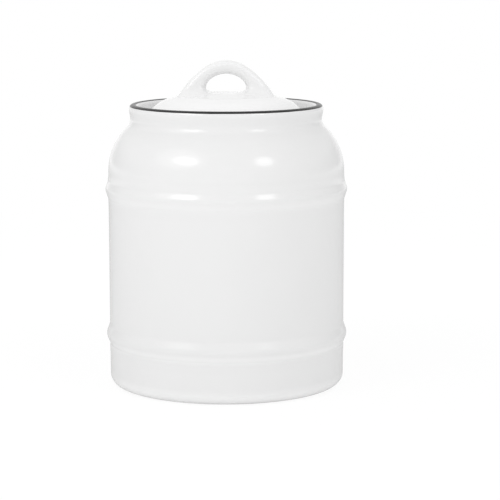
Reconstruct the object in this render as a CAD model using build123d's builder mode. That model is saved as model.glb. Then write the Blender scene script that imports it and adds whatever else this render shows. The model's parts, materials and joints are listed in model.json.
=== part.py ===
from build123d import *
import os
from math import asin, degrees, sqrt

os.makedirs("parts", exist_ok=True)

# A round ceramic storage jar with a recessed lid. The origin is the centre of the foot, +Z is up,
# and the lid's handle runs along X. Every section of revolution is drawn in X and Z.

# Jar body
jar_diameter = 107.0
jar_height = 128.0
jar_wall = 4.0
base_inset = 0.2
floor_thickness = 4.4
floor_round = 9.0

# Foot ring
foot_round = 5.2
foot_ring_width = 3.4
foot_recess = 1.6
foot_inner_round = 0.5

# Raised beads round the wall
bead_rise = 1.35
bead_width = 7.4
bead_lower_crease = 1.0
bead_upper_crease = 2.4
lower_bead_height = 23.4
upper_bead_below_shoulder = 8.0

# Shoulder, neck and mouth
shoulder_radius = 27.0
neck_round = 4.0
mouth_inset = 9.55
mouth_flare = 0.75
throat_depth = 7.0

# Ledge inside the neck, where the lid rests
ledge_depth = 8.0
ledge_width = 3.2
ledge_thickness = 5.0
ledge_corner_round = 0.6

# Black glaze over the crest of the lip
band_thickness = 0.25
band_outside_drop = 0.7
band_inside_drop = 0.35

# Lid
lid_clearance = 0.5
lid_edge_height = 1.3
lid_edge_round = 0.6
lid_height = 12.7
lid_wall = 4.0
boss_drop = 0.95
crown_drop = 3.3
crown_round = 14.0
boss_edge_round = 2.5
boss_foot_round = 4.0
# Where the boss's flat top ends, where its slope ends and where the crown breaks into the skirt, as
# shares of the lid's radius.
boss_share = 0.46
boss_foot_share = 0.5556
crown_share = 0.765

# Plug under the lid
plug_clearance = 1.5
plug_depth = 10.0
plug_wall = 3.6
plug_round = 0.8
hollow_round = 2.5
hollow_knee_share = 0.86
groove_height = 3.2
groove_depth = 1.4

# Seal ring
seal_groove_fit = 0.2
seal_neck_gap = 0.25
seal_fin_thickness = 0.8

# Handle
handle_rise = 15.0
handle_overhang = 3.7
handle_depth = 12.0
handle_edge_round = 3.0
finger_hole_width = 18.1
finger_hole_rise = 9.1
edge_round_share = 0.47
# From the foot up to the top of the bridge, as shares: the outer point's reach and height, of the
# handle's own reach and rise, then the inner point's, of half the finger hole's width and its rise,
# then the depth from front to back, of the handle's depth at the top.
handle_shares = (
    (1.075, -0.175, 0.640, -0.180, 1.32),
    (0.910, 0.140, 0.972, 0.187, 1.10),
    (0.712, 0.470, 0.963, 0.466, 1.02),
    (0.428, 0.807, 0.707, 0.769, 1.00),
    (0.000, 1.000, 0.000, 1.000, 1.00),
)

# Jar radii and heights
jar_radius = jar_diameter / 2
base_radius = jar_radius - base_inset
foot_inner_radius = base_radius - foot_round - foot_ring_width
cavity_radius = jar_radius - jar_wall
floor_height = foot_recess + floor_thickness
lip_round = jar_wall / 2
lip_radius = jar_radius - mouth_inset
lip_centre = (lip_radius - lip_round, jar_height - lip_round)
neck_radius = lip_radius - mouth_flare
throat_height = jar_height - throat_depth

# The shoulder's arc is tangent to the wall, and a smaller arc the other way runs on into the neck.
shoulder_centre_radius = jar_radius - shoulder_radius
arc_centres_reach = neck_radius + neck_round - shoulder_centre_radius
arc_centres_rise = sqrt((shoulder_radius + neck_round) ** 2 - arc_centres_reach**2)
shoulder_height = throat_height - arc_centres_rise
shoulder_angle = degrees(asin(arc_centres_rise / (shoulder_radius + neck_round)))
shoulder_centre = (shoulder_centre_radius, shoulder_height)
upper_bead_height = shoulder_height - upper_bead_below_shoulder

ledge_height = jar_height - ledge_depth
ledge_radius = neck_radius - jar_wall
ledge_bore_radius = ledge_radius - ledge_width
ledge_bottom = ledge_height - ledge_thickness
cavity_shoulder_radius = shoulder_radius - jar_wall
cavity_shoulder_angle = degrees(asin((ledge_bottom - shoulder_height) / cavity_shoulder_radius))


def bead(height, radius_below):
    """One raised bead: an arc that bulges from the wall, on a wall of radius_below under it."""
    return ThreePointArc(
        (radius_below, height - bead_width / 2),
        (jar_radius + bead_rise, height),
        (jar_radius, height + bead_width / 2),
    )


# The glaze band is a thin skin over the round crest of the lip. Its two edges lie at their own
# drops below the crest, outside and inside.
band_outside_angle = degrees(asin((lip_round - band_outside_drop) / lip_round))
band_inside_angle = 180 - degrees(asin((lip_round - band_inside_drop) / lip_round))
band_turn = band_inside_angle - band_outside_angle
with BuildPart() as rim_band:
    with BuildSketch(Plane.XZ):
        with BuildLine():
            glaze = CenterArc(lip_centre, lip_round, band_outside_angle, band_turn)
            clay = CenterArc(lip_centre, lip_round - band_thickness, band_outside_angle, band_turn)
            Line(glaze @ 0, clay @ 0)
            Line(glaze @ 1, clay @ 1)
        make_face()
    revolve(axis=Axis.Z)
rim_band.part.label = "rim_band"
export_step(rim_band.part, "parts/rim_band.step")

# Jar body: one section of revolution, drawn from the middle of the underside up the outside,
# over the lip and down the inside to the floor.
with BuildPart() as jar_body:
    with BuildSketch(Plane.XZ) as jar_section:
        with BuildLine():
            foot = FilletPolyline(
                (0, foot_recess),
                (foot_inner_radius, foot_recess),
                (foot_inner_radius, 0),
                (base_radius, 0),
                (base_radius, lower_bead_height - bead_width / 2),
                radius=(foot_inner_round, foot_inner_round, foot_round),
            )
            lower_bead = bead(lower_bead_height, base_radius)
            upper_bead = bead(upper_bead_height, jar_radius)
            Line(lower_bead @ 1, upper_bead @ 0)
            shoulder = CenterArc(shoulder_centre, shoulder_radius, 0, shoulder_angle)
            Line(upper_bead @ 1, shoulder @ 0)
            neck_centre = (neck_radius + neck_round, throat_height)
            neck = CenterArc(neck_centre, neck_round, 180 + shoulder_angle, -shoulder_angle)
            lip = CenterArc(lip_centre, lip_round, 0, 180)
            Spline(neck @ 1, lip @ 0, tangents=((0, 1), (0, 1)))
            cavity_shoulder = CenterArc(
                shoulder_centre, cavity_shoulder_radius, 0, cavity_shoulder_angle
            )
            FilletPolyline(
                lip @ 1,
                (ledge_radius, ledge_height),
                (ledge_bore_radius, ledge_height),
                (ledge_bore_radius, ledge_bottom),
                cavity_shoulder @ 1,
                radius=ledge_corner_round,
            )
            floor = FilletPolyline(
                cavity_shoulder @ 0,
                (cavity_radius, floor_height),
                (0, floor_height),
                radius=floor_round,
            )
            Line(floor @ 1, foot @ 0)
        make_face()
        corners = jar_section.vertices().filter_by_position(Axis.X, base_radius, jar_radius)
        bead_edges = (
            (lower_bead_height - bead_width / 2, bead_lower_crease),
            (lower_bead_height + bead_width / 2, bead_upper_crease),
            (upper_bead_height - bead_width / 2, bead_lower_crease),
            (upper_bead_height + bead_width / 2, bead_upper_crease),
        )
        for height, crease in bead_edges:
            fillet(corners.sort_by(lambda corner: abs(corner.Y - height))[0], radius=crease)
    revolve(axis=Axis.Z)
    add(rim_band.part, mode=Mode.SUBTRACT)
jar_body.part.label = "jar_body"
export_step(jar_body.part, "parts/jar_body.step")

# Lid: a flange that rests on the ledge, a dome with a low round boss, and a hollow plug that hangs
# into the neck with a groove round it for the seal.
lid_radius = ledge_radius - lid_clearance
boss_height = ledge_height + lid_height
boss_radius = lid_radius * boss_share
boss_foot_radius = lid_radius * boss_foot_share
crown_radius = lid_radius * crown_share
crown_height = boss_height - crown_drop
lid_edge_top = ledge_height + lid_edge_height
skirt_slope = (crown_height - lid_edge_top) / (lid_radius - crown_radius)
crown_slope = (crown_drop - boss_drop) / (crown_radius - boss_foot_radius)
plug_radius = ledge_bore_radius - plug_clearance
plug_bottom = ledge_height - plug_depth
hollow_radius = plug_radius - plug_wall
hollow_knee_radius = hollow_radius * hollow_knee_share
hollow_knee_height = crown_height + crown_slope * (crown_radius - hollow_knee_radius) - lid_wall
hollow_skirt_height = hollow_knee_height - skirt_slope * (hollow_radius - hollow_knee_radius)
groove_centre = ledge_height - ledge_thickness / 2
groove_radius = plug_radius - groove_depth
with BuildPart() as lid:
    with BuildSketch(Plane.XZ):
        with BuildLine():
            dome = FilletPolyline(
                (0, boss_height),
                (boss_radius, boss_height),
                (boss_foot_radius, boss_height - boss_drop),
                (crown_radius, crown_height),
                (lid_radius, lid_edge_top),
                (lid_radius, ledge_height),
                (plug_radius, ledge_height),
                radius=(boss_edge_round, boss_foot_round, crown_round, lid_edge_round, lid_edge_round),
            )
            plug = FilletPolyline(
                dome @ 1,
                (plug_radius, plug_bottom),
                (hollow_radius, plug_bottom),
                (hollow_radius, hollow_skirt_height),
                (hollow_knee_radius, hollow_knee_height),
                (0, boss_height - lid_wall),
                radius=(plug_round, plug_round, hollow_round, hollow_round),
            )
            Line(plug @ 1, dome @ 0)
        make_face()
        with Locations((groove_radius, groove_centre)):
            Rectangle(
                plug_clearance + groove_depth,
                groove_height,
                align=(Align.MIN, Align.CENTER),
                mode=Mode.SUBTRACT,
            )
    revolve(axis=Axis.Z)
lid.part.label = "lid"
export_step(lid.part, "parts/lid.step")

# Seal ring: a flat back that fills the groove, with two fins that reach for the neck.
seal_inner_radius = groove_radius + seal_groove_fit
seal_tip_radius = ledge_bore_radius - seal_neck_gap
seal_height = groove_height - 2 * seal_groove_fit
seal_fin_pitch = seal_height - seal_fin_thickness
with BuildPart() as seal_ring:
    with BuildSketch(Plane.XZ):
        with Locations((seal_inner_radius, groove_centre)):
            Rectangle(
                plug_radius - seal_inner_radius, seal_height, align=(Align.MIN, Align.CENTER)
            )
        with Locations(
            (seal_inner_radius, groove_centre - seal_fin_pitch / 2),
            (seal_inner_radius, groove_centre + seal_fin_pitch / 2),
        ):
            Rectangle(
                seal_tip_radius - seal_inner_radius,
                seal_fin_thickness,
                align=(Align.MIN, Align.CENTER),
            )
    revolve(axis=Axis.Z)
seal_ring.part.label = "seal_ring"
export_step(seal_ring.part, "parts/seal_ring.step")


handle_reach = boss_radius + handle_overhang


def strap_section(side, shares):
    """The rounded section of the handle's strap at one place, on the plane square to the strap."""
    outer_reach, outer_rise, inner_reach, inner_rise, depth_share = shares
    outer = Vector(side * outer_reach * handle_reach, 0, boss_height + outer_rise * handle_rise)
    inner = Vector(
        side * inner_reach * finger_hole_width / 2, 0, boss_height + inner_rise * finger_hole_rise
    )
    across = outer - inner
    along = Vector(0, 1, 0).cross(across)
    thickness = across.length
    with BuildSketch(Plane(origin=(outer + inner) / 2, x_dir=across, z_dir=along)) as section:
        RectangleRounded(
            thickness,
            handle_depth * depth_share,
            min(handle_edge_round, thickness * edge_round_share),
        )
    return section.sketch


# Handle: a strap that rises from one foot, bridges the finger hole and comes down on the other.
# Its feet are trimmed to the lid's own surface, where they were stuck on before firing.
with BuildPart() as lid_handle:
    left_half = [strap_section(-1, shares) for shares in handle_shares]
    right_half = [strap_section(1, shares) for shares in reversed(handle_shares[:-1])]
    loft(left_half + right_half)
    add(lid.part, mode=Mode.SUBTRACT)
lid_handle.part.label = "lid_handle"
export_step(lid_handle.part, "parts/lid_handle.step")
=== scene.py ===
import bpy
import json
from math import acos, asin, atan2, ceil, copysign, cos, degrees, radians, sin, sqrt, tan
from mathutils import Matrix, Vector

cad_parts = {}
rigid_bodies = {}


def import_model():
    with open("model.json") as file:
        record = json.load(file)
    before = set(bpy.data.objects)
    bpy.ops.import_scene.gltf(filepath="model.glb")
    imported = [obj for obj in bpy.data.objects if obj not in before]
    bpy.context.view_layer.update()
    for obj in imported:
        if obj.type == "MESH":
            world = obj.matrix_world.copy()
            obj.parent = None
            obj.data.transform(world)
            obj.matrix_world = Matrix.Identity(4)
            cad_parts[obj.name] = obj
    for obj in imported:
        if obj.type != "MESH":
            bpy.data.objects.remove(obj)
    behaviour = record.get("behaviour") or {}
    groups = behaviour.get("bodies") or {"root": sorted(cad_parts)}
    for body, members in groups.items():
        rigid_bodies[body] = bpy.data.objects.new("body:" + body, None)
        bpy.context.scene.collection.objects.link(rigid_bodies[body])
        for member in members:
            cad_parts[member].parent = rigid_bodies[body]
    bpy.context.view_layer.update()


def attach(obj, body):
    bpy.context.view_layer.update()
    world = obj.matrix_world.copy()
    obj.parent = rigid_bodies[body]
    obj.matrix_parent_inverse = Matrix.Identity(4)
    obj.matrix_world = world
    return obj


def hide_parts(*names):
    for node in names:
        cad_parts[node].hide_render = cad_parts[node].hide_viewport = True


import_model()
mm = 0.001

# The view. The photograph was taken with a long lens, from just under a metre away and a little
# above the lid, with the jar slightly left of the middle of the picture.
camera_distance = 968 * mm
camera_height = 206.7 * mm
camera_dip = 8.553
camera_turn = -0.634
camera_roll = -0.08
sensor_width = 36
lens_length = 154.3

bpy.ops.object.camera_add(
    location=(0, -camera_distance, camera_height),
    rotation=(radians(90 - camera_dip), 0, radians(camera_turn)),
)
camera = bpy.context.object
camera.rotation_euler.rotate_axis("Z", radians(camera_roll))
camera.data.sensor_width = sensor_width
camera.data.lens = lens_length
bpy.context.scene.camera = camera


# The jar's body, cast in white clay and fired under a clear white glaze: a round foot, a straight
# wall with two raised beads, a round shoulder, and a short neck that flares into a rounded lip.
# Its outline is drawn in X and Z, from the middle of the underside, and turned round the axis.
jar_radius = 53.5 * mm
jar_height = 128.0 * mm
jar_wall = 4.0 * mm
base_inset = 0.2 * mm
base_radius = jar_radius - base_inset
foot_recess = 1.6 * mm
foot_inner_radius = 44.7 * mm
foot_inner_round = 0.5 * mm
foot_round = 5.2 * mm
floor_thickness = 4.4 * mm
floor_height = foot_recess + floor_thickness
floor_round = 9.0 * mm

lower_bead_height = 23.65 * mm
upper_bead_below_shoulder = 8.0 * mm
# How the wall runs past each bead, from below: how far out from the wall and how high from the
# bead's crest each corner is, and its round, all in mm. Under the lower bead is a faint groove.
lower_bead = (
    (-0.14, -9.5, 30),
    (0.02, -5.6, 3),
    (-0.12, -4.4, 0.9),
    (1.60, 0, 4.2),
    (-0.05, 4.6, 4),
)
upper_bead = (
    (0, -9.0, 30),
    (0.12, -4.5, 3),
    (1.55, 0, 3.5),
    (0.28, 3.3, 5),
    (0, 6.2, 20),
)

shoulder_round = 27.0 * mm
neck_round = 5.6 * mm
lip_radius = 43.95 * mm
lip_round = jar_wall / 2
lip_centre = (lip_radius - lip_round, jar_height - lip_round)
mouth_flare = 0.55 * mm
neck_radius = lip_radius - mouth_flare
throat_depth = 6.5 * mm
throat_height = jar_height - throat_depth

ledge_depth = 8.0 * mm
ledge_thickness = 5.0 * mm
ledge_width = 3.2 * mm
ledge_inset = 0.75 * mm
ledge_corner_round = 0.6 * mm
ledge_height = jar_height - ledge_depth
ledge_bottom = ledge_height - ledge_thickness
ledge_radius = lip_radius - ledge_inset - jar_wall
ledge_bore_radius = ledge_radius - ledge_width

band_thickness = 0.25 * mm
band_outside_drop = 0.7 * mm
band_inside_drop = 0.35 * mm
band_outside_angle = degrees(asin((lip_round - band_outside_drop) / lip_round))
band_inside_angle = 180 - degrees(asin((lip_round - band_inside_drop) / lip_round))
band_turn = band_inside_angle - band_outside_angle

# The shoulder's arc leaves the wall in line with it, and a smaller arc the other way runs on into
# the neck. Inside, the same arc is drawn one wall smaller, up to the ledge.
arc_centres_reach = neck_radius + neck_round - (jar_radius - shoulder_round)
arc_centres_rise = sqrt((shoulder_round + neck_round) ** 2 - arc_centres_reach**2)
shoulder_centre = (jar_radius - shoulder_round, throat_height - arc_centres_rise)
shoulder_turn = degrees(asin(arc_centres_rise / (shoulder_round + neck_round)))
cavity_round = shoulder_round - jar_wall
cavity_turn = degrees(asin((ledge_bottom - shoulder_centre[1]) / cavity_round))
upper_bead_height = shoulder_centre[1] - upper_bead_below_shoulder

# How finely outlines are drawn and turned. Stretches below the least length are left out, and
# points closer than it are merged.
least_length = 0.002 * mm
stretch_end = 0.3 * mm
stretch_end_share = 0.3
arc_error = 0.005 * mm
widest_step = radians(9)
turn_steps = 192
smooth_below = radians(40)

pen = Vector((0, 0))


def at_angle(centre, radius, angle):
    """The point of a circle at an angle in degrees."""
    return centre[0] + radius * cos(radians(angle)), centre[1] + radius * sin(radians(angle))


def pen_down(name, r, z):
    """Starts a new piece as one selected point of its outline, in edit mode."""
    bpy.ops.object.select_all(action="DESELECT")
    bpy.ops.mesh.primitive_plane_add(size=mm, location=(0, 0, 0))
    piece = bpy.context.object
    piece.name = piece.data.name = name
    bpy.ops.object.mode_set(mode="EDIT")
    bpy.ops.mesh.select_all(action="SELECT")
    bpy.ops.mesh.merge(type="CENTER")
    bpy.ops.transform.translate(value=(r, 0, z))
    pen[:] = (r, z)
    return piece


def pen_to(r, z):
    """Draws a straight stretch, with a point near each end that keeps it true when smoothed."""
    stretch = Vector((r, z)) - pen
    if stretch.length < least_length:
        return
    end = min(stretch_end / stretch.length, stretch_end_share)
    for share in (end, 1 - 2 * end, end):
        step = (stretch.x * share, 0, stretch.y * share)
        bpy.ops.mesh.extrude_region_move(TRANSFORM_OT_translate={"value": step})
    pen[:] = (r, z)


def pen_round(centre, turn):
    """Draws a round stretch about a centre, anticlockwise for a positive turn in degrees."""
    arm = pen - Vector(centre)
    step = min(widest_step, 2 * acos(1 - min(arc_error / arm.length, 0.5)))
    bpy.ops.mesh.spin(
        steps=ceil(abs(radians(turn)) / step),
        angle=radians(turn),
        center=(centre[0], 0, centre[1]),
        axis=(0, 1, 0),
    )
    pen[:] = Vector(centre) + Matrix.Rotation(radians(turn), 2) @ arm


def pen_along(*stops):
    """Draws on from stop to stop, (radius, height, round), with a tangent round at each."""
    for (r, z, size), after in zip(stops, stops[1:]):
        corner = Vector((r, z))
        into = (corner - pen).normalized()
        out = (Vector(after[:2]) - corner).normalized()
        turn = atan2(into.x * out.y - into.y * out.x, into.dot(out))
        start = corner - into * size * tan(abs(turn) / 2)
        side = copysign(size, turn)
        pen_to(*start)
        pen_round((start.x - into.y * side, start.y + into.x * side), degrees(turn))
    pen_to(*stops[-1][:2])


def past_bead(crest, corners):
    """The stops that take the wall past a bead with its crest at a height."""
    return [(jar_radius + out * mm, crest + rise * mm, size * mm) for out, rise, size in corners]


def turn_round():
    """Turns the drawn outline once round the axis, and closes its seam and its poles."""
    bpy.ops.mesh.select_all(action="SELECT")
    bpy.ops.mesh.spin(steps=turn_steps, angle=radians(360), center=(0, 0, 0), axis=(0, 0, 1))
    bpy.ops.mesh.select_all(action="SELECT")
    bpy.ops.mesh.remove_doubles(threshold=least_length)
    bpy.ops.mesh.normals_make_consistent(inside=False)
    bpy.ops.object.mode_set(mode="OBJECT")
    bpy.ops.object.shade_smooth_by_angle(angle=smooth_below)


jar = pen_down("glazed_jar", 0, foot_recess)
pen_along(
    (foot_inner_radius, foot_recess, foot_inner_round),
    (foot_inner_radius, 0, foot_inner_round),
    (base_radius, 0, foot_round),
    *past_bead(lower_bead_height, lower_bead),
    *past_bead(upper_bead_height, upper_bead),
    (jar_radius, shoulder_centre[1]),
)
pen_round(shoulder_centre, shoulder_turn)
pen_round((neck_radius + neck_round, throat_height), -shoulder_turn)

# The neck flares to the lip in two arcs, out and back to upright.
flare_rise = lip_centre[1] - throat_height
flare_turn = 2 * atan2(mouth_flare, flare_rise)
flare_round = flare_rise / (2 * sin(flare_turn))
pen_round((neck_radius + flare_round, throat_height), -degrees(flare_turn))
pen_round((lip_radius - flare_round, lip_centre[1]), degrees(flare_turn))

# The black band lies in a shallow step over the lip's crest.
pen_round(lip_centre, band_outside_angle)
pen_to(*at_angle(lip_centre, lip_round - band_thickness, band_outside_angle))
pen_round(lip_centre, band_turn)
pen_to(*at_angle(lip_centre, lip_round, band_inside_angle))
pen_round(lip_centre, 180 - band_inside_angle)

pen_along(
    (ledge_radius, ledge_height, ledge_corner_round),
    (ledge_bore_radius, ledge_height, ledge_corner_round),
    (ledge_bore_radius, ledge_bottom, ledge_corner_round),
    at_angle(shoulder_centre, cavity_round, cavity_turn),
)
pen_round(shoulder_centre, -cavity_turn)
pen_along(
    (jar_radius - jar_wall, floor_height, floor_round),
    (0, floor_height),
)
turn_round()


class Wire:
    """A value on its way through a material. Sums on it add their Math nodes."""

    def __init__(self, socket):
        self.socket = socket

    def node(self, kind, settings, values, output=0):
        """Adds a node: its settings first, then the values or wires of its sockets."""
        added = self.socket.id_data.nodes.new(kind)
        for name, setting in settings.items():
            setattr(added, name, setting)
        self.plug(added, values)
        return Wire(added.outputs[output])

    def plug(self, node, values):
        """Sets or links sockets of a node."""
        for name, value in values.items():
            if isinstance(value, Wire):
                self.socket.id_data.links.new(value.socket, node.inputs[name])
            else:
                node.inputs[name].default_value = value

    def sum(self, operation, *values):
        return self.node("ShaderNodeMath", {"operation": operation}, dict(enumerate(values)))

    def __add__(self, other):
        return self.sum("ADD", self, other)

    def __sub__(self, other):
        return self.sum("SUBTRACT", self, other)

    def __rsub__(self, other):
        return self.sum("SUBTRACT", other, self)

    def __mul__(self, other):
        return self.sum("MULTIPLY", self, other)

    __radd__ = __add__
    __rmul__ = __mul__

    def rise(self, low, high):
        """A smooth climb from 0 at low to 1 at high."""
        return self.node(
            "ShaderNodeMapRange",
            {"interpolation_type": "SMOOTHSTEP"},
            {"Value": self, "From Min": low, "From Max": high},
        )

    def near(self, place, reach):
        """A smooth hump that is 1 at a place and gone a reach away from it."""
        return 1 - self.sum("ABSOLUTE", self - place).rise(0, reach)

    def noise(self, size, detail=2, seed=0):
        """Even blotches of about a size in metres, from -1 to 1."""
        return 2 * self.node(
            "ShaderNodeTexNoise",
            {"noise_dimensions": "4D"},
            {"Vector": self, "W": seed, "Scale": 1 / size, "Detail": detail},
        ) - 1

    def mix(self, share, one, other):
        """The colour one, going over to the other as the share goes to 1."""
        return self.node(
            "ShaderNodeMix", {"data_type": "RGBA"}, {0: share, 6: one, 7: other}, output=2
        )

    def relief(self):
        """The bumps of a surface that is this high, in metres."""
        return self.node("ShaderNodeBump", {}, {"Strength": 1, "Distance": 1, "Height": self})


def start_material(name):
    """A new material with its shader, and the place on the piece, its height and its radius."""
    material = bpy.data.materials.new(name)
    material.use_nodes = True
    nodes = material.node_tree.nodes
    place = Wire(nodes.new("ShaderNodeTexCoord").outputs["Object"])
    height = place.node("ShaderNodeSeparateXYZ", {}, {"Vector": place}, output="Z")
    level = place.node("ShaderNodeVectorMath", {"operation": "MULTIPLY"}, {0: place, 1: (1, 1, 0)})
    radius = place.node("ShaderNodeVectorMath", {"operation": "LENGTH"}, {0: level}, output="Value")
    return material, nodes["Principled BSDF"], place, height, radius


jar_white = (0.785, 0.785, 0.785, 1)
bare_clay = (0.60, 0.57, 0.53, 1)
glaze_black = (0.006, 0.006, 0.006, 1)
# Painted light: the jar's white is painted this much lighter under the beads and at the foot.
painted_light_on_jar = 1.06

# Where the jar's clay is bare, where painted light brightens the shade under the beads and at
# the foot, and where the black line's edge runs. A pair is where a change starts and ends.
foot_wiped = (0.15 * mm, 0.45 * mm)
ledge_wiped = (38.6 * mm, 39.0 * mm)
ledge_wiped_depth = 0.5 * mm
light_below_lower_bead = 3.1 * mm
lower_light_reach = 2.4 * mm
light_below_upper_bead = 2.9 * mm
upper_light_reach = 3.2 * mm
upper_light_share = 0.6
foot_light_height = 3 * mm
foot_light_reach = 4 * mm
jar_outside = (50.0 * mm, 51.0 * mm)
line_drop = 0.92 * mm
line_wander = 0.10 * mm
line_wander_size = 9 * mm
line_softness = (-0.03 * mm, 0.05 * mm)
lip_outside = (42.8 * mm, 43.0 * mm)

# The glaze's faint clouds, its slow waves and fine dimples, and the grain of bare clay.
cloud_size = 22 * mm
cloud_shade = 0.975
wave_size = 11 * mm
wave_height = 0.012 * mm
dimple_size = 0.8 * mm
dimple_height = 0.0006 * mm
grain_size = 0.35 * mm
grain_height = 0.012 * mm
glaze_roughness = 0.17
glaze_unevenness = 0.03
uneven_size = 30 * mm
bare_roughness = 0.60
glaze_ior = 1.52


def white_glaze(name, white, bare, painted_shading, painted_shading_factor, black=None):
    """White glaze on white clay, given where the clay is bare and where painted light and shade
    change its white.
    """
    material, shader, place, height, radius = start_material(name)
    bare, painted_shading = bare(height, radius), painted_shading(height, radius)
    clouds = place.noise(cloud_size, detail=3)
    thinner = [cloud_shade * part for part in white[:3]] + [1]
    # The white where light and shade are painted, lighter or darker by the given factor.
    painted_white = [painted_shading_factor * part for part in white[:3]] + [1]
    colour = place.mix(0.5 + clouds * 0.5, white, thinner)
    colour = place.mix(painted_shading, colour, painted_white)
    colour = place.mix(bare, colour, bare_clay)
    if black:
        colour = place.mix(black(place, height, radius), colour, glaze_black)
    waves = place.noise(wave_size, seed=3) * wave_height * (1 - bare)
    dimples = place.noise(dimple_size, seed=5) * dimple_height
    grain = place.noise(grain_size, seed=7) * grain_height * bare
    uneven = glaze_unevenness * place.noise(uneven_size, seed=9)
    place.plug(
        shader,
        {
            "Base Color": colour,
            "Roughness": glaze_roughness + uneven + bare_roughness * bare,
            "IOR": glaze_ior,
            "Normal": (waves + dimples + grain).relief(),
        },
    )
    return material


def jar_bare(height, radius):
    """The wiped ring of the foot, and the ledge where the lid rests."""
    foot = 1 - height.rise(*foot_wiped)
    ledge = height.near(ledge_height, ledge_wiped_depth) * (1 - radius.rise(*ledge_wiped))
    return foot + ledge


def jar_painted_light(height, radius):
    """Painted light under the beads and at the foot, lifting the shade that falls there."""
    under_lower = height.near(lower_bead_height - light_below_lower_bead, lower_light_reach)
    under_upper = height.near(upper_bead_height - light_below_upper_bead, upper_light_reach)
    foot = height.near(foot_light_height, foot_light_reach)
    return (under_lower + upper_light_share * under_upper + foot) * radius.rise(*jar_outside)


def brushed_edge(place, height, radius):
    """The black line's own outer edge, which wanders a little below the band."""
    edge = jar_height - line_drop + place.noise(line_wander_size, seed=11) * line_wander
    return (height - edge).rise(*line_softness) * radius.rise(*lip_outside)


jar.data.materials.append(
    white_glaze("white_glaze_jar", jar_white, jar_bare, jar_painted_light, painted_light_on_jar, brushed_edge)
)
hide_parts("jar_body")
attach(jar, "jar")


# The black line round the mouth: a band of black glaze, brushed over the crest of the lip and
# fired on. It is a quarter of a millimetre thick, and browner where it is drawn out thin.
band_proud = 0.04 * mm
band_edge_round = 0.07 * mm
band_edges_over = radians(50)
thin_black = (0.05, 0.042, 0.036, 1)
thin_heights = (127.15 * mm, 127.4 * mm)
thin_wander = 0.1 * mm
thin_wander_size = 3 * mm
ripple_size = 2.5 * mm
ripple_height = 0.006 * mm
speck_size = 0.4 * mm
speck_height = 0.0006 * mm
black_roughness = 0.28
black_unevenness = 0.05
black_uneven_size = 4 * mm
black_ior = 1.40

rim = pen_down("black_rim", *at_angle(lip_centre, lip_round - band_thickness, band_outside_angle))
pen_to(*at_angle(lip_centre, lip_round + band_proud, band_outside_angle))
pen_round(lip_centre, band_turn)
pen_to(*at_angle(lip_centre, lip_round - band_thickness, band_inside_angle))
pen_round(lip_centre, -band_turn)
turn_round()
soften = rim.modifiers.new("soft_edges", "BEVEL")
soften.width = band_edge_round
soften.segments = 3
soften.limit_method = "ANGLE"
soften.angle_limit = band_edges_over
bpy.ops.object.modifier_apply(modifier=soften.name)

material, shader, place, height, radius = start_material("black_glaze")
wandering_height = height + place.noise(thin_wander_size, seed=2) * thin_wander
thin = 1 - wandering_height.rise(*thin_heights)
ripples = place.noise(ripple_size, seed=4) * ripple_height
specks = place.noise(speck_size) * speck_height
place.plug(
    shader,
    {
        "Base Color": place.mix(thin, glaze_black, thin_black),
        "Roughness": black_roughness + black_unevenness * place.noise(black_uneven_size, seed=6),
        "IOR": black_ior,
        "Normal": (ripples + specks).relief(),
    },
)
rim.data.materials.append(material)
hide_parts("rim_band")
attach(rim, "jar")


# The lid, cast hollow in the same clay: a dome with a low round boss, a rim that rests on the
# ledge inside the neck, and a plug below it with a groove for the seal.
lid_clearance = 0.5 * mm
lid_wall = 4.0 * mm
lid_radius = ledge_radius - lid_clearance
lid_edge_height = 1.3 * mm
lid_edge_top = ledge_height + lid_edge_height
lid_edge_round = 0.6 * mm
lid_height = 12.7 * mm
boss_height = ledge_height + lid_height
boss_crown = 0.35 * mm
boss_drop = 0.95 * mm
boss_radius = 8.50 * mm
boss_edge_round = 20.0 * mm
boss_foot_radius = 21.50 * mm
boss_foot_height = boss_height - boss_drop
boss_foot_round = 4.0 * mm
crown_drop = 3.3 * mm
crown_radius = 29.60 * mm
crown_height = boss_height - crown_drop
crown_round = 14.0 * mm
plug_clearance = 1.5 * mm
plug_depth = 10.0 * mm
plug_wall = 3.6 * mm
plug_radius = ledge_bore_radius - plug_clearance
plug_bottom = ledge_height - plug_depth
plug_top_round = 0.25 * mm
plug_round = 0.8 * mm
groove_depth = 1.4 * mm
groove_half_height = 1.6 * mm
groove_radius = plug_radius - groove_depth
groove_centre = ledge_height - ledge_thickness / 2
groove_top = groove_centre + groove_half_height
groove_bottom = groove_centre - groove_half_height
groove_edge_round = 0.2 * mm
groove_floor_round = 0.15 * mm
hollow_radius = plug_radius - plug_wall
hollow_round = 2.5 * mm
hollow_knee_radius = 26.57 * mm
hollow_knee_height = 126.28 * mm
hollow_skirt_height = 122.43 * mm
lid_white = (0.915, 0.915, 0.915, 1)
# Painted shade: the lid's white is painted this much darker round the slope of the boss.
painted_shade_on_boss = 0.96
rim_bare_depth = 0.35 * mm
rim_bare = (34.6 * mm, 35.0 * mm)
boss_slope_radius = 18.0 * mm
boss_slope_reach = 6.0 * mm
lid_top = (130 * mm, 131 * mm)

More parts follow.
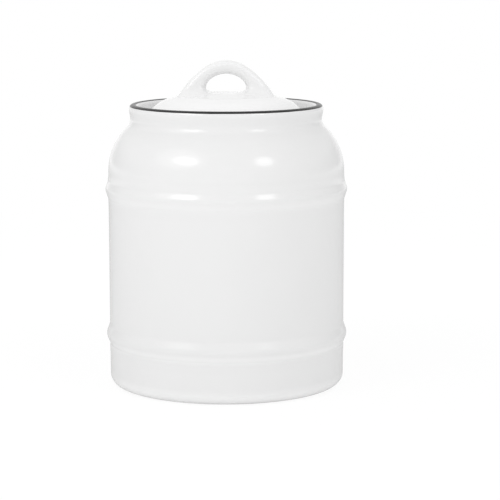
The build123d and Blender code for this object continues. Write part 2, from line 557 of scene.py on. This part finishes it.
lid = pen_down("domed_lid", 0, boss_height + boss_crown)
pen_along(
    (boss_radius, boss_height + boss_crown, boss_edge_round),
    (boss_foot_radius, boss_foot_height, boss_foot_round),
    (crown_radius, crown_height, crown_round),
    (lid_radius, lid_edge_top, lid_edge_round),
    (lid_radius, ledge_height, lid_edge_round),
    (plug_radius, ledge_height, plug_top_round),
    (plug_radius, groove_top, groove_edge_round),
    (groove_radius, groove_top, groove_floor_round),
    (groove_radius, groove_bottom, groove_floor_round),
    (plug_radius, groove_bottom, groove_edge_round),
    (plug_radius, plug_bottom, plug_round),
    (hollow_radius, plug_bottom, plug_round),
    (hollow_radius, hollow_skirt_height, hollow_round),
    (hollow_knee_radius, hollow_knee_height, hollow_round),
    (0, boss_height - lid_wall),
)
turn_round()


def lid_bare(height, radius):
    """The underside of the rim, where the lid stands in the kiln."""
    return height.near(ledge_height, rim_bare_depth) * radius.rise(*rim_bare)


def lid_painted_shade(height, radius):
    """Painted shade round the slope of the boss, a shade darker on the top of the lid."""
    return radius.near(boss_slope_radius, boss_slope_reach) * height.rise(*lid_top)


lid.data.materials.append(
    white_glaze("white_glaze_lid", lid_white, lid_bare, lid_painted_shade, painted_shade_on_boss)
)
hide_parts("lid")
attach(lid, "lid")


# The handle, pressed in the same clay and stuck across the boss with slip before firing: a strap
# with rounded edges that rises from two broad feet and bridges a finger hole.
strap_edge_round = 3.0 * mm
strap_round_share = 0.47
strap_corner_steps = 5
handle_white = (0.86, 0.86, 0.86, 1)
# Painted light: the handle's white is painted this much lighter in the corners of the finger hole.
painted_light_on_handle = 1.05
painted_light_heights = (133.5 * mm, 135.5 * mm)
painted_light_reaches = (9.5 * mm, 12.0 * mm)
# From the top of the bridge down to a foot, in mm: the outer side's reach, height and depth from
# front to back, and the inner side's. The last but one is the line where the foot meets the lid,
# and the last is the root of the slip below it.
strap_stations = (
    (0.00, 147.80, 12.0, 0.00, 141.72, 7.8),
    (3.30, 147.45, 12.0, 2.50, 141.42, 7.8),
    (6.35, 146.45, 12.0, 4.70, 140.68, 7.8),
    (9.30, 144.90, 12.0, 6.40, 139.70, 8.0),
    (12.00, 142.90, 12.05, 7.65, 138.60, 8.3),
    (14.40, 140.85, 12.15, 8.50, 137.45, 9.0),
    (16.45, 138.80, 12.3, 8.98, 136.30, 9.4),
    (18.15, 136.80, 12.5, 9.02, 135.35, 10.0),
    (19.65, 134.90, 12.8, 8.80, 134.55, 11.0),
    (20.70, 133.40, 14.0, 8.15, 133.90, 12.8),
    (21.45, 132.25, 16.0, 7.00, 133.35, 15.2),
    (22.00, 131.40, 18.4, 5.50, 132.90, 18.0),
    (22.40, 130.40, 20.0, 4.70, 131.60, 19.6),
)
foot_line = len(strap_stations) - 2


def strap_section(side, station):
    """Adds the strap's rounded section at one station, square to the strap."""
    outer_reach, outer_height, outer_depth, inner_reach, inner_height, inner_depth = station
    outer = Vector((side * outer_reach, 0, outer_height)) * mm
    inner = Vector((side * inner_reach, 0, inner_height)) * mm
    front = Vector((0, -0.5 * mm, 0))
    corners = (
        outer + front * outer_depth,
        outer - front * outer_depth,
        inner - front * inner_depth,
        inner + front * inner_depth,
    )
    bpy.ops.mesh.select_all(action="DESELECT")
    bpy.ops.mesh.primitive_plane_add(size=mm, location=(0, 0, 0))
    bpy.ops.mesh.merge(type="CENTER")
    bpy.ops.transform.translate(value=corners[0])
    for start, end in zip(corners, corners[1:]):
        bpy.ops.mesh.extrude_region_move(TRANSFORM_OT_translate={"value": end - start})
    bpy.ops.mesh.select_linked()
    bpy.ops.mesh.edge_face_add()
    corner_round = min(strap_edge_round, (outer - inner).length * strap_round_share)
    bpy.ops.mesh.bevel(offset=corner_round, segments=strap_corner_steps, affect="VERTICES")


bpy.ops.object.select_all(action="DESELECT")
bpy.ops.mesh.primitive_plane_add(size=mm, location=(0, 0, 0))
handle = bpy.context.object
handle.name = handle.data.name = "bridge_handle"
bpy.ops.object.mode_set(mode="EDIT")
bpy.ops.mesh.delete(type="VERT")
bpy.ops.object.vertex_group_add()
for side, first in ((-1, 0), (1, 1)):
    for number in range(first, len(strap_stations)):
        strap_section(side, strap_stations[number])
        if number == foot_line:
            bpy.ops.object.vertex_group_assign()
        bpy.ops.mesh.delete(type="ONLY_FACE")
bpy.ops.mesh.select_all(action="SELECT")
bpy.ops.mesh.bridge_edge_loops()
bpy.ops.mesh.select_all(action="SELECT")
bpy.ops.mesh.fill_holes(sides=0)
bpy.ops.mesh.select_all(action="SELECT")
bpy.ops.mesh.normals_make_consistent(inside=False)
bpy.ops.object.mode_set(mode="OBJECT")
settle = handle.modifiers.new("settle_on_lid", "SHRINKWRAP")
settle.target = lid
settle.vertex_group = handle.vertex_groups[0].name
settle.wrap_method = "PROJECT"
settle.use_project_z = True
settle.use_negative_direction = True
smooth = handle.modifiers.new("smooth", "SUBSURF")
smooth.levels = smooth.render_levels = 2
for modifier in (settle, smooth):
    bpy.ops.object.modifier_apply(modifier=modifier.name)
bpy.ops.object.shade_smooth()


def handle_bare(height, radius):
    """Nowhere: the handle is glazed all over."""
    return 0


def handle_painted_light(height, radius):
    """Painted light in the corners between the feet and the lid, inside the finger hole, lifting
    the shade there.
    """
    return (1 - height.rise(*painted_light_heights)) * (1 - radius.rise(*painted_light_reaches))


handle.data.materials.append(
    white_glaze("white_glaze_handle", handle_white, handle_bare, handle_painted_light, painted_light_on_handle)
)
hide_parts("lid_handle")
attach(handle, "lid")


# The seal, moulded in soft clear-white silicone: a flat back that fills the groove of the plug,
# and two thin fins that reach for the neck.
seal_fit = 0.2 * mm
seal_neck_gap = 0.25 * mm
seal_inner_radius = groove_radius + seal_fit
seal_tip_radius = ledge_bore_radius - seal_neck_gap
seal_top = groove_top - seal_fit
seal_bottom = groove_bottom + seal_fit
seal_round = 0.2 * mm
fin = 0.8 * mm
fin_tip = 0.85 * fin
fin_round = 0.3 * mm
silicone_clear = (0.72, 0.725, 0.73, 1)
silicone_hazy = (0.63, 0.635, 0.64, 1)
silicone_roughness = 0.42
silicone_unevenness = 0.08
silicone_ior = 1.41
silicone_scatter = 0.3
silicone_scatter_depth = 2 * mm
haze_size = 6 * mm
haze_height = 0.01 * mm
skin_size = 0.5 * mm
skin_height = 0.0015 * mm

seal = pen_down("sealing_ring", seal_inner_radius, groove_centre)
pen_along(
    (seal_inner_radius, seal_bottom, seal_round),
    (seal_tip_radius, seal_bottom, fin_round),
    (seal_tip_radius, seal_bottom + fin_tip, fin_round),
    (plug_radius, seal_bottom + fin, seal_round),
    (plug_radius, seal_top - fin, seal_round),
    (seal_tip_radius, seal_top - fin_tip, fin_round),
    (seal_tip_radius, seal_top, fin_round),
    (seal_inner_radius, seal_top, seal_round),
    (seal_inner_radius, groove_centre),
)
turn_round()

material, shader, place, height, radius = start_material("silicone")
haze = place.noise(haze_size, detail=3, seed=1)
skin = haze * haze_height + place.noise(skin_size, seed=8) * skin_height
place.plug(
    shader,
    {
        "Base Color": place.mix(haze * 0.5 + 0.5, silicone_clear, silicone_hazy),
        "Roughness": silicone_roughness + silicone_unevenness * haze,
        "IOR": silicone_ior,
        "Subsurface Weight": silicone_scatter,
        "Subsurface Scale": silicone_scatter_depth,
        "Normal": skin.relief(),
    },
)
seal.data.materials.append(material)
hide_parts("seal_ring")
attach(seal, "seal")


# The studio: two softboxes in front, to the left and right, the left one in a wide glow, a room
# round them, and a white table that runs on behind as the background and lights the jar from below.
lamp_distance = 1.0
aim_height = 90 * mm


def softbox(name, azimuth, elevation, size, watts):
    """An oval lamp that faces the jar, its azimuth counted from the camera's side."""
    level = lamp_distance * cos(radians(elevation))
    place = Vector(
        (
            level * sin(radians(azimuth)),
            -level * cos(radians(azimuth)),
            lamp_distance * sin(radians(elevation)),
        )
    )
    bpy.ops.object.light_add(type="AREA", location=place + Vector((0, 0, aim_height)))
    lamp = bpy.context.object
    lamp.name = lamp.data.name = name
    lamp.rotation_euler = (-place).to_track_quat("-Z", "Y").to_euler()
    lamp.data.shape = "ELLIPSE"
    lamp.data.size, lamp.data.size_y = size
    lamp.data.energy = watts


softbox("left_softbox", -43, 31, (0.42, 0.23), 1.0)
softbox("left_glow", -52, 33, (0.80, 0.60), 1.0)
softbox("right_softbox", 39.6, 30.3, (0.30, 0.27), 0.76)

world = bpy.data.worlds.new("studio")
bpy.context.scene.world = world
world.use_nodes = True
background = world.node_tree.nodes["Background"]
direction = Wire(world.node_tree.nodes.new("ShaderNodeTexCoord").outputs["Generated"])
apart = direction.node("ShaderNodeSeparateXYZ", {}, {"Vector": direction})
east, north, up = (Wire(apart.socket.node.outputs[name]) for name in "XYZ")
# How bright the room is each way: its walls on the camera's side, a little brighter to the east,
# its far wall, dim near the table, the bright backdrop straight behind the jar, and the ceiling.
ceiling = 0.88
near_wall = 0.725 + 0.15 * east.rise(-0.6, 0.6)
far_wall = 0.44 + 0.43 * up.rise(0.05, 0.35)
backdrop = 0.91 + 0.16 * (1 - up.rise(0.05, 0.22))
far_side = far_wall + (backdrop - far_wall) * north.rise(0.75, 0.98)
walls = far_side + (near_wall - far_side) * (1 - north.rise(-0.7, 0.5))
room = walls + (ceiling - walls) * up.rise(0.3, 0.85)
seen = direction.node("ShaderNodeLightPath", {}, {}, output="Is Camera Ray")
direction.plug(background, {"Color": (1, 1, 1, 1), "Strength": seen + (1 - seen) * room})

table_radius = 9
table_drop = 0.05 * mm
table_white = (0.92, 0.92, 0.92, 1)
bpy.ops.object.select_all(action="DESELECT")
bpy.ops.mesh.primitive_circle_add(
    vertices=128, radius=table_radius, fill_type="NGON", location=(0, 0, -table_drop)
)
table = bpy.context.object
table.name = table.data.name = "white_table"
material, shader, place, height, radius = start_material("white_table")
# The table's own light is weaker near the jar, but for a little more right under the foot's edge.
lit = 0.11 + 0.11 * radius.rise(0.1, 0.3) + 0.04 * (1 - radius.rise(0.05, 0.08))
place.plug(
    shader,
    {
        "Base Color": table_white,
        "Roughness": 0.9,
        "Emission Color": lit,
        "Emission Strength": 1,
    },
)
# To the camera the table is white but for the jar's shadow, and in the glaze it is a bright plane.
camera_ray = place.node("ShaderNodeLightPath", {}, {}, output="Is Camera Ray")
glossy_ray = place.node("ShaderNodeLightPath", {}, {}, output="Is Glossy Ray")
mirrored = glossy_ray * (0.56 + 0.44 * radius.rise(0.6, 2))
glow = place.node("ShaderNodeEmission", {}, {"Color": camera_ray + mirrored, "Strength": 1})
glow_share = (camera_ray + glossy_ray) * (0.88 + 0.12 * radius.rise(0.1, 0.6))
surface = place.node(
    "ShaderNodeMixShader", {}, {0: glow_share, 1: Wire(shader.outputs[0]), 2: glow}
)
place.plug(material.node_tree.nodes["Material Output"], {"Surface": surface})
table.data.materials.append(material)

bpy.context.scene.view_settings.view_transform = "Standard"
